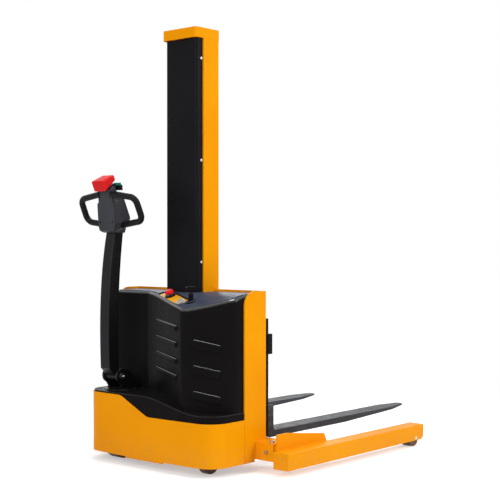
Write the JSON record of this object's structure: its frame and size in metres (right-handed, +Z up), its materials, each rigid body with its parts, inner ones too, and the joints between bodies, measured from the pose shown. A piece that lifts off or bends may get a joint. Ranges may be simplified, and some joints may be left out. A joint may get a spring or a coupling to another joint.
{
  "type": "walkie straddle stacker",
  "caption": "Pedestrian straddle stacker with a single-column lift mast, forks on a roller carriage, sliding straddle legs and a side-mounted tiller on a steered drive wheel.",
  "frame": {"origin": "on the floor, under the middle of the overall length and width with the forks a little raised", "axes": "+X towards the fork tips, +Y to the operator's left when facing the mast, +Z up"},
  "size_m": [1.6075, 1.21, 1.96],
  "materials": {
    "yellow_paint": "gloss powder coat",
    "black_plastic": "satin moulded",
    "black_paint": "satin powder coat",
    "fork_paint": "satin paint",
    "head_plastic": "fine grain",
    "grip_rubber": "matte",
    "red_plastic": "gloss",
    "teal_plastic": "gloss",
    "plate_yellow": "satin",
    "gauge_plastic": "gloss",
    "zinc_steel": "zinc plated",
    "rod_chrome": "hard chrome",
    "cast_metal": "cast",
    "wheel_tread": "polyurethane",
    "battery_case": "moulded",
    "tank_plastic": "translucent moulded"
  },
  "bodies": {
    "truck": {"chassis_frame": "yellow_paint", "rear_skirt": "yellow_paint", "hood": "black_plastic", "switch_plate": "plate_yellow", "estop_base": "black_plastic", "battery_gauge": "gauge_plastic", "key_switch": "black_plastic", "battery_lower": "battery_case", "battery_upper": "battery_case", "motor_controller": "cast_metal", "oil_tank": "tank_plastic", "pump_motor": "cast_metal", "mast_column_left": "yellow_paint", "mast_column_right": "yellow_paint", "mast_cap": "yellow_paint", "mast_cover": "black_paint", "cover_screws": "zinc_steel", "lift_barrel": "black_paint", "chain_rear": "zinc_steel", "chain_anchor": "zinc_steel", "leg_clamp_bolts": "zinc_steel", "steer_bearing": "zinc_steel"},
    "drive_unit": {"drive_yoke": "black_paint", "drive_motor": "cast_metal", "tiller_bracket": "black_paint", "tiller_pin": "zinc_steel"},
    "drive_wheel": {"drive_hub": "cast_metal", "drive_tyre": "wheel_tread"},
    "tiller": {"tiller_arm": "black_paint", "head_housing": "head_plastic", "handle_loop_left": "grip_rubber", "handle_loop_right": "grip_rubber"},
    "belly": {"belly_button": "red_plastic"},
    "paddle": {"thumb_paddle": "black_plastic"},
    "lift_push": {"lift_button": "teal_plastic"},
    "lower_push": {"lower_button": "teal_plastic"},
    "horn_push": {"horn_button": "teal_plastic"},
    "estop": {"estop_knob": "red_plastic"},
    "ignition_key": {"key": "black_plastic"},
    "caster": {"caster_fork": "black_paint", "caster_axle": "zinc_steel"},
    "caster_roll": {"caster_wheel": "wheel_tread"},
    "carriage": {"carriage_frame": "black_paint"},
    "roller_ll": {"roller_low_left": "cast_metal"},
    "roller_lr": {"roller_low_right": "cast_metal"},
    "roller_hl": {"roller_high_left": "cast_metal"},
    "roller_hr": {"roller_high_right": "cast_metal"},
    "lift_rod": {"piston_rod": "rod_chrome", "chain_front": "zinc_steel"},
    "sheave": {"chain_sheave": "zinc_steel"},
    "left_fork": {"fork_left": "fork_paint", "fork_hanger_left": "black_paint"},
    "right_fork": {"fork_right": "fork_paint", "fork_hanger_right": "black_paint"},
    "left_leg": {"leg_left": "yellow_paint", "load_axle_left": "zinc_steel"},
    "right_leg": {"leg_right": "yellow_paint", "load_axle_right": "zinc_steel"},
    "left_load_wheel": {"load_wheel_left": "wheel_tread"},
    "right_load_wheel": {"load_wheel_right": "wheel_tread"}
  },
  "joints": [
    {"name": "steer", "type": "hinge", "parent": "truck", "child": "drive_unit", "pos_m": [-0.64875, 0.28, 0.312], "axis": [0, 0, -1], "range_deg": [-60, 90]},
    {"name": "drive_roll", "type": "hinge", "parent": "drive_unit", "child": "drive_wheel", "pos_m": [-0.64875, 0.28, 0.095], "axis": [0, 1, 0], "continuous": true},
    {"name": "tiller_tilt", "type": "hinge", "parent": "drive_unit", "child": "tiller", "pos_m": [-0.69475, 0.28, 0.384], "axis": [0, -1, 0], "range_deg": [0, 75], "stiffness_Nm_per_rad": 25, "springref_deg": -34.38},
    {"name": "belly_push", "type": "slide", "parent": "tiller", "child": "belly", "axis": [0.4067, 0, -0.9135], "range_m": [0, 0.006], "stiffness_N_per_m": 900, "springref_m": -0.02},
    {"name": "throttle", "type": "hinge", "parent": "tiller", "child": "paddle", "pos_m": [-0.71279, 0.28, 1.24919], "axis": [0, 1, 0], "range_deg": [-30, 30], "stiffness_Nm_per_rad": 0.4},
    {"name": "estop_press", "type": "slide", "parent": "truck", "child": "estop", "axis": [0.342, 0, -0.9397], "range_m": [0, 0.005]},
    {"name": "key_turn", "type": "hinge", "parent": "truck", "child": "ignition_key", "pos_m": [-0.66582, -0.17622, 0.73579], "axis": [0, 0, -1], "range_deg": [0, 90]},
    {"name": "caster_swivel", "type": "hinge", "parent": "truck", "child": "caster", "pos_m": [-0.63375, -0.28, 0.11], "axis": [0, 0, 1], "continuous": true},
    {"name": "caster_roll", "type": "hinge", "parent": "caster", "child": "caster_roll", "pos_m": [-0.66375, -0.28, 0.05], "axis": [0, 1, 0], "continuous": true},
    {"name": "lift", "type": "slide", "parent": "truck", "child": "carriage", "axis": [0, 0, 1], "range_m": [-0.08, 1.44]},
    {"name": "rod_stroke", "type": "slide", "parent": "truck", "child": "lift_rod", "axis": [0, 0, 1], "range_m": [-0.04, 0.72], "deforming": ["chain_front", "chain_rear"]},
    {"name": "sheave_turn", "type": "hinge", "parent": "lift_rod", "child": "sheave", "pos_m": [-0.49675, 0, 1.148], "axis": [0, 1, 0], "range_deg": [-1191, 71]},
    {"name": "roller_ll_turn", "type": "hinge", "parent": "carriage", "child": "roller_ll", "pos_m": [-0.45775, 0.084, 0.185], "axis": [0, 1, 0], "range_deg": [-2137, 124]},
    {"name": "roller_lr_turn", "type": "hinge", "parent": "carriage", "child": "roller_lr", "pos_m": [-0.45775, -0.084, 0.185], "axis": [0, 1, 0], "range_deg": [-2137, 124]},
    {"name": "roller_hl_turn", "type": "hinge", "parent": "carriage", "child": "roller_hl", "pos_m": [-0.45775, 0.084, 0.425], "axis": [0, 1, 0], "range_deg": [-124, 2137]},
    {"name": "roller_hr_turn", "type": "hinge", "parent": "carriage", "child": "roller_hr", "pos_m": [-0.45775, -0.084, 0.425], "axis": [0, 1, 0], "range_deg": [-124, 2137]},
    {"name": "lift_press", "type": "slide", "parent": "tiller", "child": "lift_push", "axis": [-0.9135, 0, -0.4067], "range_m": [0, 0.003], "stiffness_N_per_m": 500, "springref_m": -0.002},
    {"name": "lower_press", "type": "slide", "parent": "tiller", "child": "lower_push", "axis": [-0.9135, 0, -0.4067], "range_m": [0, 0.003], "stiffness_N_per_m": 500, "springref_m": -0.002},
    {"name": "horn_press", "type": "slide", "parent": "tiller", "child": "horn_push", "axis": [-0.9135, 0, -0.4067], "range_m": [0, 0.003], "stiffness_N_per_m": 500, "springref_m": -0.002},
    {"name": "left_fork_shift", "type": "slide", "parent": "carriage", "child": "left_fork", "axis": [0, 1, 0], "range_m": [-0.15, 0.005]},
    {"name": "left_leg_extend", "type": "slide", "parent": "truck", "child": "left_leg", "axis": [0, 1, 0], "range_m": [-0.008, 0.11]},
    {"name": "left_load_roll", "type": "hinge", "parent": "left_leg", "child": "left_load_wheel", "pos_m": [0.47025, 0.565, 0.042], "axis": [0, 1, 0], "continuous": true},
    {"name": "right_fork_shift", "type": "slide", "parent": "carriage", "child": "right_fork", "axis": [0, -1, 0], "range_m": [-0.15, 0.005]},
    {"name": "right_leg_extend", "type": "slide", "parent": "truck", "child": "right_leg", "axis": [0, -1, 0], "range_m": [-0.008, 0.11]},
    {"name": "right_load_roll", "type": "hinge", "parent": "right_leg", "child": "right_load_wheel", "pos_m": [0.47025, -0.565, 0.042], "axis": [0, 1, 0], "continuous": true}
  ],
  "couplings": [
    {"joint": "rod_stroke", "follows": "lift", "ratio": 0.5},
    {"joint": "sheave_turn", "follows": "lift", "rad_per_m": -14.368},
    {"joint": "roller_ll_turn", "follows": "lift", "rad_per_m": -25.84},
    {"joint": "roller_lr_turn", "follows": "lift", "rad_per_m": -25.84},
    {"joint": "roller_hl_turn", "follows": "lift", "rad_per_m": 25.84},
    {"joint": "roller_hr_turn", "follows": "lift", "rad_per_m": 25.84}
  ]
}
